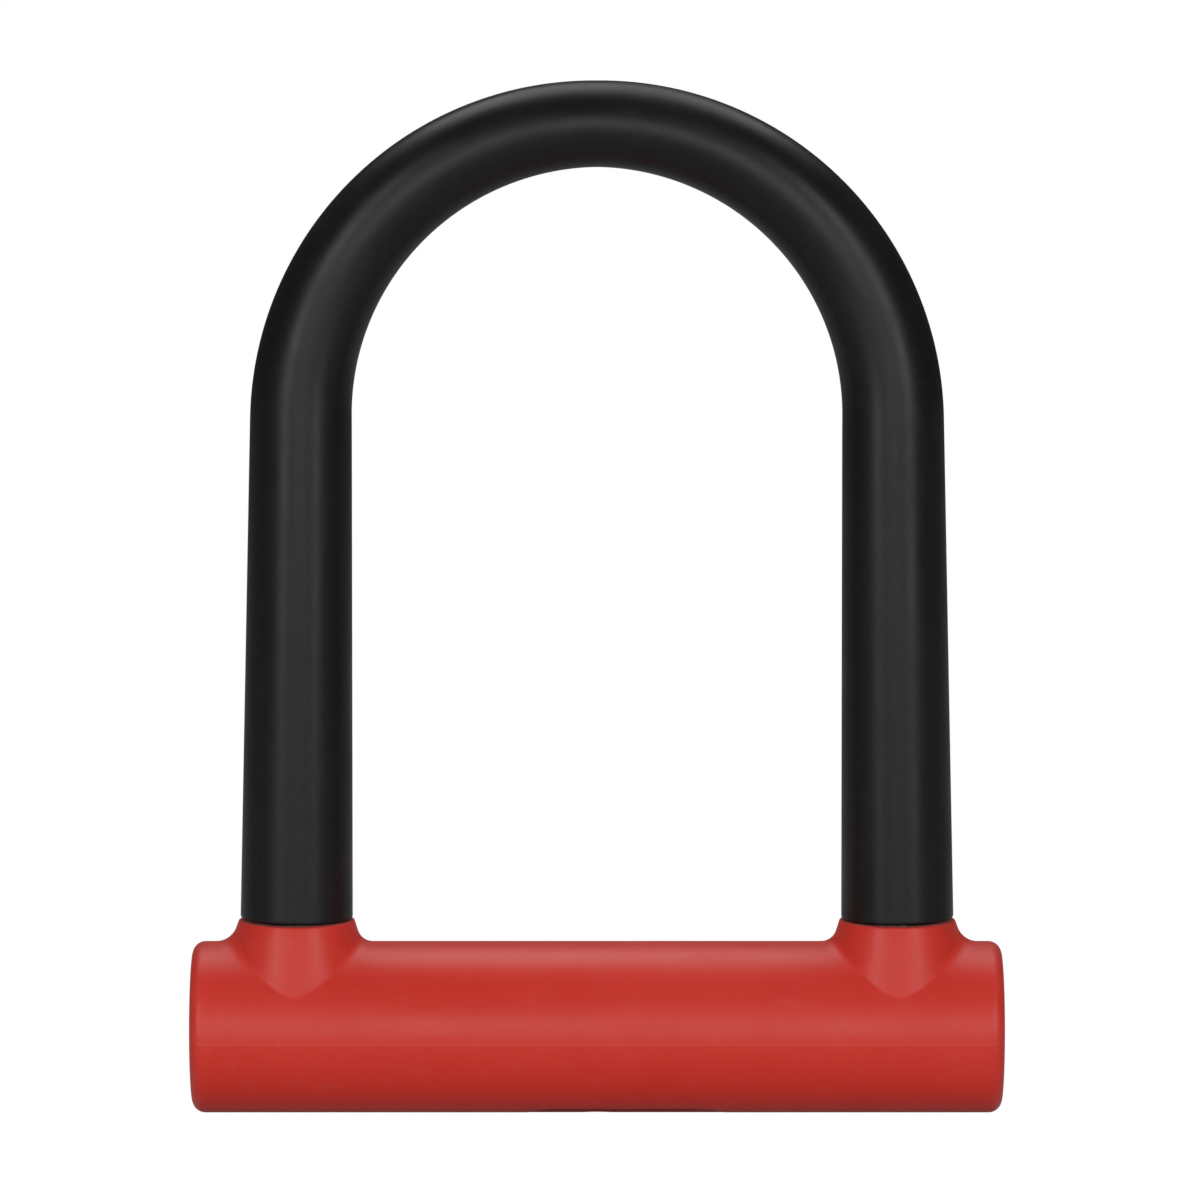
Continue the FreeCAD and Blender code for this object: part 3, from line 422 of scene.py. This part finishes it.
def add_node(tree, kind, **inputs):
    """A shader node with its unlinked inputs set by name."""
    node = tree.nodes.new("ShaderNode" + kind)
    for name, value in inputs.items():
        node.inputs[name.replace("_", " ")].default_value = value
    return node


def noise(tree, place, scale, detail=2.0, roughness=0.5):
    node = add_node(tree, "TexNoise", Scale=scale, Detail=detail, Roughness=roughness)
    link(tree, place, node.inputs["Vector"])
    return node.outputs["Fac"]


def between(tree, value, low, high, out_low, out_high):
    """A value's range mapped to another range, with a soft start and end."""
    node = tree.nodes.new("ShaderNodeMapRange")
    node.interpolation_type = "SMOOTHSTEP"
    for name, number in (("From Min", low), ("From Max", high),
                         ("To Min", out_low), ("To Max", out_high)):
        node.inputs[name].default_value = number
    link(tree, value, node.inputs["Value"])
    return node.outputs["Result"]


def mixed(tree, share, first, second):
    """One colour mixed into another by a share; either may be a colour or a socket."""
    node = tree.nodes.new("ShaderNodeMix")
    node.data_type = "RGBA"
    link(tree, share, node.inputs[0])
    for socket, colour in ((node.inputs[6], first), (node.inputs[7], second)):
        if isinstance(colour, tuple):
            socket.default_value = colour
        else:
            link(tree, colour, socket)
    return node.outputs[2]


def bump(tree, height, distance, strength=1.0, below=None):
    node = add_node(tree, "Bump", Strength=strength, Distance=distance)
    link(tree, height, node.inputs["Height"])
    if below is not None:
        link(tree, below, node.inputs["Normal"])
    return node.outputs["Normal"]


def object_place(tree):
    return tree.nodes.new("ShaderNodeTexCoord").outputs["Object"]


silicone, tree, shader = new_material("red_silicone")
place = object_place(tree)
shade = noise(tree, place, 55, 3)
dust = between(tree, noise(tree, place, 240, 4, 0.62), 0.5, 0.78, 0, 0.22)
red = mixed(tree, shade, (0.74, 0.037, 0.024, 1), (0.8, 0.052, 0.033, 1))
red = mixed(tree, dust, red, (0.78, 0.1, 0.08, 1))
link(tree, red, shader.inputs["Base Color"])
smudge = noise(tree, place, 38, 4, 0.6)
link(tree, between(tree, smudge, 0.3, 0.7, 0.35, 0.44), shader.inputs["Roughness"])
grain = bump(tree, noise(tree, place, 4200, 3, 0.6), 0.03 * mm, 0.35)
skin = bump(tree, noise(tree, place, 420, 2, 0.5), 0.02 * mm, 0.5, grain)
link(tree, skin, shader.inputs["Normal"])
shader.inputs["Specular IOR Level"].default_value = 0.38
shader.inputs["Sheen Weight"].default_value = 0.12
shader.inputs["Sheen Roughness"].default_value = 0.4
shader.inputs["Sheen Tint"].default_value = (1.0, 0.75, 0.72, 1)
cover.data.materials.append(silicone)
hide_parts("crossbar_cover")
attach(cover, "crossbar")


# ------------------------------------------------------------------ shackle coat
# The shackle's coat is a black rubber moulding over the steel rod, thickest at the feet and
# thinnest at the crown. Its two lower edges are rounded and stop just above the collars' rims.

core_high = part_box("shackle_core")[1]
rod_radius = core_high.y
bow_level = core_high.z - leg_x - rod_radius
bow_shift = 0.4 * mm

coat, tree, shader = new_material("black_rubber")
place = object_place(tree)
dust = between(tree, noise(tree, place, 300, 5, 0.65), 0.52, 0.8, 0, 0.3)
shade = noise(tree, place, 70, 3)
black = mixed(tree, shade, (0.0065, 0.0065, 0.007, 1), (0.0095, 0.0095, 0.01, 1))
black = mixed(tree, dust, black, (0.028, 0.028, 0.029, 1))
link(tree, black, shader.inputs["Base Color"])
smudge = noise(tree, place, 45, 4, 0.6)
link(tree, between(tree, smudge, 0.3, 0.7, 0.32, 0.42), shader.inputs["Roughness"])
grain = bump(tree, noise(tree, place, 5200, 3, 0.6), 0.03 * mm, 0.4)
skin = bump(tree, noise(tree, place, 350, 2, 0.5), 0.02 * mm, 0.5, grain)
link(tree, skin, shader.inputs["Normal"])
shader.inputs["Specular IOR Level"].default_value = 0.33


def geometry_tree(name, sizes):
    """A geometry node tree, its named inputs with one for each size, and its output node."""
    tree = bpy.data.node_groups.new(name, "GeometryNodeTree")
    tree.interface.new_socket("Geometry", in_out="OUTPUT", socket_type="NodeSocketGeometry")
    for title, value in sizes.items():
        kind = "NodeSocketInt" if isinstance(value, int) else "NodeSocketFloat"
        tree.interface.new_socket(title, in_out="INPUT", socket_type=kind).default_value = value
    return tree, tree.nodes.new("NodeGroupInput").outputs, tree.nodes.new("NodeGroupOutput")


def maths(tree, operation, first, second=None, clamp=False):
    """One operation on numbers or sockets; clamp keeps its result between 0 and 1."""
    node = tree.nodes.new("ShaderNodeMath")
    node.operation = operation
    node.use_clamp = clamp
    for socket, value in zip(node.inputs, (first, second)):
        if isinstance(value, (int, float)):
            socket.default_value = value
        elif value is not None:
            link(tree, value, socket)
    return node.outputs[0]


def grown(name, tree, sizes, material):
    """Runs a geometry tree with its sizes and returns the result as a plain mesh object."""
    seed = bpy.data.objects.new(name + "_seed", bpy.data.meshes.new(name + "_seed"))
    bpy.context.scene.collection.objects.link(seed)
    modifier = seed.modifiers.new("grow", "NODES")
    modifier.node_group = tree
    for socket in tree.interface.items_tree:
        if socket.in_out == "INPUT":
            modifier[socket.identifier] = sizes[socket.name]
    bpy.context.view_layer.update()
    ready = seed.evaluated_get(bpy.context.evaluated_depsgraph_get())
    mesh = bpy.data.meshes.new_from_object(ready)
    seed.modifiers.remove(modifier)
    bpy.data.objects.remove(seed)
    piece = bpy.data.objects.new(name, mesh)
    bpy.context.scene.collection.objects.link(piece)
    mesh.materials.clear()
    mesh.materials.append(material)
    return piece


coat_sizes = {
    "Bow Radius": leg_x - bow_shift,
    "Bow Level": bow_level,
    "Foot Offset": collar_x,
    "Foot Level": sleeve_low.z,
    "Crown Radius": sleeve_high.z - bow_level - leg_x + bow_shift,
    "Spring Radius": 10.33 * mm,
    "Foot Radius": sleeve_high.x - collar_x,
    "Taper Power": 1.1,
    "Lip": 0.5 * mm,
    "Bow Share": 0.45,
    "End Crowding": 2.2,
    "Points": 261,
    "Around": 72,
}
tree, given, result = geometry_tree("coat_along_shackle", coat_sizes)
path = tree.nodes.new("GeometryNodeCurvePrimitiveLine")
path.inputs["End"].default_value = (1, 0, 0)
dense = tree.nodes.new("GeometryNodeResampleCurve")
link(tree, path.outputs["Curve"], dense.inputs["Curve"])
link(tree, given["Points"], dense.inputs["Count"])
order = tree.nodes.new("GeometryNodeSplineParameter").outputs["Index"]
along = maths(tree, "DIVIDE", order, maths(tree, "SUBTRACT", given["Points"], 1.0))
signed = maths(tree, "SUBTRACT", maths(tree, "MULTIPLY", along, 2.0), 1.0)
side = maths(tree, "SIGN", signed)
reach = maths(tree, "ABSOLUTE", signed)
on_bow = maths(tree, "DIVIDE", reach, given["Bow Share"], clamp=True)
left_over = maths(tree, "SUBTRACT", reach, given["Bow Share"])
leg_share = maths(tree, "SUBTRACT", 1.0, given["Bow Share"])
on_leg = maths(tree, "DIVIDE", left_over, leg_share, clamp=True)
up_leg = maths(tree, "SUBTRACT", 1.0, on_leg, clamp=True)
to_foot = maths(tree, "POWER", up_leg, given["End Crowding"])
down = maths(tree, "SUBTRACT", 1.0, to_foot, clamp=True)
turn = maths(tree, "MULTIPLY", on_bow, math.pi / 2)
across = maths(tree, "MULTIPLY", given["Bow Radius"], maths(tree, "SINE", turn))
splay = maths(tree, "MULTIPLY", down, maths(tree, "SUBTRACT", given["Foot Offset"],
                                            given["Bow Radius"]))
above = maths(tree, "MULTIPLY", given["Bow Radius"], maths(tree, "COSINE", turn))
leg_length = maths(tree, "SUBTRACT", given["Bow Level"], given["Foot Level"])
below = maths(tree, "MULTIPLY", down, leg_length)
level = maths(tree, "SUBTRACT", maths(tree, "ADD", given["Bow Level"], above), below)
centre = tree.nodes.new("ShaderNodeCombineXYZ")
link(tree, maths(tree, "MULTIPLY", side, maths(tree, "ADD", across, splay)), centre.inputs["X"])
link(tree, level, centre.inputs["Z"])
placed = tree.nodes.new("GeometryNodeSetPosition")
link(tree, dense.outputs["Curve"], placed.inputs["Geometry"])
link(tree, centre.outputs[0], placed.inputs["Position"])
swell = maths(tree, "MULTIPLY", maths(tree, "POWER", on_bow, given["Taper Power"]),
              maths(tree, "SUBTRACT", given["Spring Radius"], given["Crown Radius"]))
thicker = maths(tree, "MULTIPLY", down, maths(tree, "SUBTRACT", given["Foot Radius"],
                                              given["Spring Radius"]))
radius = maths(tree, "ADD", maths(tree, "ADD", given["Crown Radius"], swell), thicker)
height_left = maths(tree, "MULTIPLY", to_foot, leg_length)
to_end = maths(tree, "DIVIDE", height_left, given["Lip"], clamp=True)
past = maths(tree, "SUBTRACT", 1.0, to_end, clamp=True)
squared = maths(tree, "MULTIPLY", past, past)
round_off = maths(tree, "SQRT", maths(tree, "SUBTRACT", 1.0, squared, clamp=True))
loss = maths(tree, "MULTIPLY", given["Lip"], maths(tree, "SUBTRACT", 1.0, round_off, clamp=True))
ring_shape = tree.nodes.new("GeometryNodeCurvePrimitiveCircle")
ring_shape.inputs["Radius"].default_value = 1.0
link(tree, given["Around"], ring_shape.inputs["Resolution"])
tube = tree.nodes.new("GeometryNodeCurveToMesh")
tube.inputs["Fill Caps"].default_value = True
link(tree, placed.outputs["Geometry"], tube.inputs["Curve"])
link(tree, ring_shape.outputs["Curve"], tube.inputs["Profile Curve"])
link(tree, maths(tree, "SUBTRACT", radius, loss), tube.inputs["Scale"])
link(tree, tube.outputs["Mesh"], result.inputs["Geometry"])

sleeve = grown("shackle_coat", tree, coat_sizes, coat)
work = bmesh.new()
work.from_mesh(sleeve.data)
bmesh.ops.remove_doubles(work, verts=work.verts, dist=1e-7)
bmesh.ops.recalc_face_normals(work, faces=work.faces)
for face in work.faces:
    face.smooth = len(face.verts) == 4
for edge in work.edges:
    edge.smooth = all(face.smooth for face in edge.link_faces)
work.to_mesh(sleeve.data)
work.free()
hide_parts("shackle_sleeve")
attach(sleeve, "shackle")


# ------------------------------------------------------------------ shackle rod and bolts
# The shackle is a bent rod of hardened steel, zinc plated over fine drawing lines. The bolts and
# the cam are stamped from plate and share its plating; they shine where they rub.


def plated(name, stretch, pale, dark, rough_low, rough_high):
    """Plated steel: a mottled bright coat, fine lines along one axis, and dull handled patches."""
    material, tree, shader = new_material(name)
    place = object_place(tree)
    mapping = tree.nodes.new("ShaderNodeMapping")
    mapping.inputs["Scale"].default_value = stretch
    link(tree, place, mapping.inputs["Vector"])
    lines = noise(tree, mapping.outputs["Vector"], 900, 4, 0.6)
    patches = noise(tree, place, 160, 4, 0.6)
    tint = mixed(tree, between(tree, patches, 0.32, 0.7, 0, 1), dark, pale)
    specks = between(tree, noise(tree, place, 2600, 2, 0.5), 0.66, 0.78, 0, 0.4)
    pitted = tuple(0.45 * part for part in dark[:3]) + (1,)
    tint = mixed(tree, specks, tint, pitted)
    link(tree, tint, shader.inputs["Base Color"])
    shader.inputs["Metallic"].default_value = 1.0
    link(tree, between(tree, lines, 0.3, 0.7, rough_low, rough_high), shader.inputs["Roughness"])
    drawn = bump(tree, lines, 0.02 * mm, 0.5)
    link(tree, bump(tree, patches, 0.02 * mm, 0.3, drawn), shader.inputs["Normal"])
    return material


crease_angle = math.radians(28)


def smoothed(node):
    """A merged copy of a piece, smooth but for its real edges, that stands for the piece."""
    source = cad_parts[node]
    mesh = source.data.copy()
    mesh.name = node + "_smooth"
    work = bmesh.new()
    work.from_mesh(mesh)
    bmesh.ops.remove_doubles(work, verts=work.verts, dist=2e-6)
    for face in work.faces:
        face.smooth = True
    for edge in work.edges:
        edge.smooth = len(edge.link_faces) == 2 and edge.calc_face_angle(0) < crease_angle
    work.to_mesh(mesh)
    work.free()
    mesh.materials.clear()
    piece = bpy.data.objects.new(node + "_smooth", mesh)
    bpy.context.scene.collection.objects.link(piece)
    return piece


def finished(node, body, material):
    """A smoothed piece with its finish, riding on its body."""
    piece = smoothed(node)
    piece.data.materials.append(material)
    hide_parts(node)
    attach(piece, body)


zinc_plate = plated("zinc_plated_rod", (1, 1, 0.04), (0.66, 0.65, 0.61, 1), (0.5, 0.5, 0.49, 1),
                    0.2, 0.34)
finished("shackle_core", "shackle", zinc_plate)
bolt_plate = plated("zinc_plated_plate", (0.05, 1, 1), (0.62, 0.62, 0.6, 1), (0.47, 0.47, 0.47, 1),
                    0.24, 0.4)
finished("deadbolt_left", "bolt_left", bolt_plate)
finished("deadbolt_right", "bolt_right", bolt_plate)
finished("cam_plate", "plug", bolt_plate)


# ------------------------------------------------------------------ hardened steel pieces
# The tube, its end plugs, the leg sockets, the key plug, its face disc and the pins are hardened
# steel, left dark from the furnace and lightly oiled. The spring pins are blued.

furnace_steel = plated("furnace_dark_steel", (0.06, 1, 1), (0.3, 0.3, 0.31, 1),
                       (0.16, 0.16, 0.17, 1), 0.3, 0.5)
for node in ("crossbar_tube", "end_plug_left", "end_plug_right", "leg_socket_left",
             "leg_socket_right", "bezel_screws", "anti_drill_pins"):
    finished(node, "crossbar", furnace_steel)
ground_steel = plated("ground_steel", (1, 1, 0.08), (0.55, 0.55, 0.56, 1), (0.38, 0.38, 0.4, 1),
                      0.22, 0.36)
for node in ("key_plug", "face_disc", "disc_spacers"):
    finished(node, "plug", ground_steel)
finished("drive_pin_left", "bolt_left", ground_steel)
finished("drive_pin_right", "bolt_right", ground_steel)
blued_steel = plated("blued_spring_steel", (1, 0.05, 1), (0.14, 0.16, 0.21, 1),
                     (0.06, 0.065, 0.08, 1), 0.28, 0.42)
for node in ("roll_pins", "cylinder_pins", "plug_snap_ring"):
    finished(node, "crossbar", blued_steel)


# ------------------------------------------------------------------ brass and die-cast pieces
# The cylinder's barrel, its discs and its sidebar are machined brass with turning marks round the
# barrel's axis. The two carriers are zinc castings, grey and slightly grained.


def turned_brass(name, pale, dark):
    """Machined brass with rings round its own axis and a little tarnish."""
    material, tree, shader = new_material(name)
    place = object_place(tree)
    rings = tree.nodes.new("ShaderNodeTexWave")
    rings.wave_type = "RINGS"
    rings.rings_direction = "Z"
    rings.inputs["Scale"].default_value = 900
    rings.inputs["Distortion"].default_value = 0.6
    link(tree, place, rings.inputs["Vector"])
    tarnish = between(tree, noise(tree, place, 260, 4, 0.6), 0.42, 0.72, 0, 0.7)
    tone = mixed(tree, tarnish, pale, dark)
    link(tree, tone, shader.inputs["Base Color"])
    shader.inputs["Metallic"].default_value = 1.0
    link(tree, between(tree, tarnish, 0, 0.7, 0.24, 0.44), shader.inputs["Roughness"])
    marks = bump(tree, rings.outputs["Fac"], 0.006 * mm, 0.4)
    grain = noise(tree, place, 1800, 2)
    link(tree, bump(tree, grain, 0.01 * mm, 0.3, marks), shader.inputs["Normal"])
    return material


brass = turned_brass("turned_brass", (0.74, 0.53, 0.24, 1), (0.42, 0.28, 0.12, 1))
finished("cylinder_housing", "crossbar", brass)
for node in ("detainer_discs", "sidebar"):
    finished(node, "plug", brass)

casting, tree, shader = new_material("die_cast_zinc")
place = object_place(tree)
cloud = noise(tree, place, 120, 5, 0.65)
mottle = between(tree, cloud, 0.3, 0.7, 0, 1)
grey = mixed(tree, mottle, (0.27, 0.275, 0.285, 1), (0.4, 0.405, 0.41, 1))
link(tree, grey, shader.inputs["Base Color"])
shader.inputs["Metallic"].default_value = 0.85
link(tree, between(tree, cloud, 0.3, 0.7, 0.42, 0.58), shader.inputs["Roughness"])
crust = bump(tree, noise(tree, place, 1500, 4, 0.7), 0.05 * mm, 0.5)
link(tree, crust, shader.inputs["Normal"])
for node in ("bolt_carrier_left", "bolt_carrier_right"):
    finished(node, "crossbar", casting)


# ------------------------------------------------------------------ leg bushes and wipers
# Each collar is lined with a bush of pale nylon that guides the leg, and a soft black rubber
# ring on top of it wipes the leg dry.


def nylon(name, base, worn, rough, fleck):
    """Moulded nylon: faint flow marks, a fine satin skin and small scuffs."""
    material, tree, shader = new_material(name)
    place = object_place(tree)
    flow = noise(tree, place, 90, 3, 0.5)
    scuff = between(tree, noise(tree, place, 700, 5, 0.7), 0.56, 0.74, 0, fleck)
    shaded = tuple(0.82 * part for part in base[:3]) + (1,)
    tone = mixed(tree, between(tree, flow, 0.3, 0.7, 0, 1), base, shaded)
    link(tree, mixed(tree, scuff, tone, worn), shader.inputs["Base Color"])
    satin = between(tree, flow, 0.3, 0.7, rough - 0.05, rough + 0.07)
    link(tree, satin, shader.inputs["Roughness"])
    fine = bump(tree, noise(tree, place, 6000, 2, 0.5), 0.02 * mm, 0.35)
    link(tree, bump(tree, flow, 0.03 * mm, 0.3, fine), shader.inputs["Normal"])
    return material


white_nylon = nylon("white_nylon", (0.68, 0.67, 0.62, 1), (0.45, 0.44, 0.4, 1), 0.45, 0.35)
for node in ("leg_bush_left", "leg_bush_right"):
    finished(node, "crossbar", white_nylon)
wiper_rubber = nylon("wiper_rubber", (0.012, 0.012, 0.013, 1), (0.05, 0.05, 0.05, 1), 0.6, 0.4)
finished("leg_wipers", "crossbar", wiper_rubber)


# ------------------------------------------------------------------ keyhole frame and shutter
# Under the bar a frame of red moulded nylon is screwed into the tube. A black nylon shutter
# slides in it over the keyway, pushed by a small nub with ribs for the thumb.

frame_nylon = nylon("red_frame_nylon", (0.62, 0.03, 0.02, 1), (0.7, 0.16, 0.13, 1), 0.42, 0.3)
finished("keyhole_bezel", "crossbar", frame_nylon)
shutter_nylon = nylon("black_shutter_nylon", (0.014, 0.014, 0.015, 1), (0.06, 0.06, 0.06, 1),
                      0.42, 0.35)
finished("keyhole_shutter", "shutter", shutter_nylon)

shutter_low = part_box("keyhole_shutter")[0]
rib_sizes = {
    "Rib Count": 4,
    "Rib Pitch": 0.6 * mm,
    "Rib Length": 2.5 * mm,
    "Rib Radius": 0.16 * mm,
    "Nub Middle": -2.8 * mm,
    "Nub Face": shutter_low.z + 0.02 * mm,
}
tree, given, result = geometry_tree("ribs_on_nub", rib_sizes)
row = tree.nodes.new("GeometryNodeMeshLine")
spacing = tree.nodes.new("ShaderNodeCombineXYZ")
link(tree, given["Rib Pitch"], spacing.inputs["X"])
row_start = tree.nodes.new("ShaderNodeCombineXYZ")
half_row = maths(tree, "MULTIPLY", maths(tree, "SUBTRACT", given["Rib Count"], 1.0),
                 maths(tree, "MULTIPLY", given["Rib Pitch"], 0.5))
link(tree, maths(tree, "SUBTRACT", given["Nub Middle"], half_row), row_start.inputs["X"])
link(tree, given["Nub Face"], row_start.inputs["Z"])
link(tree, given["Rib Count"], row.inputs["Count"])
link(tree, row_start.outputs[0], row.inputs["Start Location"])
link(tree, spacing.outputs[0], row.inputs["Offset"])
rib = tree.nodes.new("GeometryNodeMeshCylinder")
rib.inputs["Vertices"].default_value = 16
link(tree, given["Rib Radius"], rib.inputs["Radius"])
link(tree, given["Rib Length"], rib.inputs["Depth"])
laid = tree.nodes.new("GeometryNodeTransform")
laid.inputs["Rotation"].default_value = (math.pi / 2, 0, 0)
link(tree, rib.outputs["Mesh"], laid.inputs["Geometry"])
copies = tree.nodes.new("GeometryNodeInstanceOnPoints")
link(tree, row.outputs["Mesh"], copies.inputs["Points"])
link(tree, laid.outputs["Geometry"], copies.inputs["Instance"])
real = tree.nodes.new("GeometryNodeRealizeInstances")
link(tree, copies.outputs["Instances"], real.inputs["Geometry"])
link(tree, real.outputs["Geometry"], result.inputs["Geometry"])
ribs = grown("nub_ribs", tree, rib_sizes, shutter_nylon)
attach(ribs, "shutter")
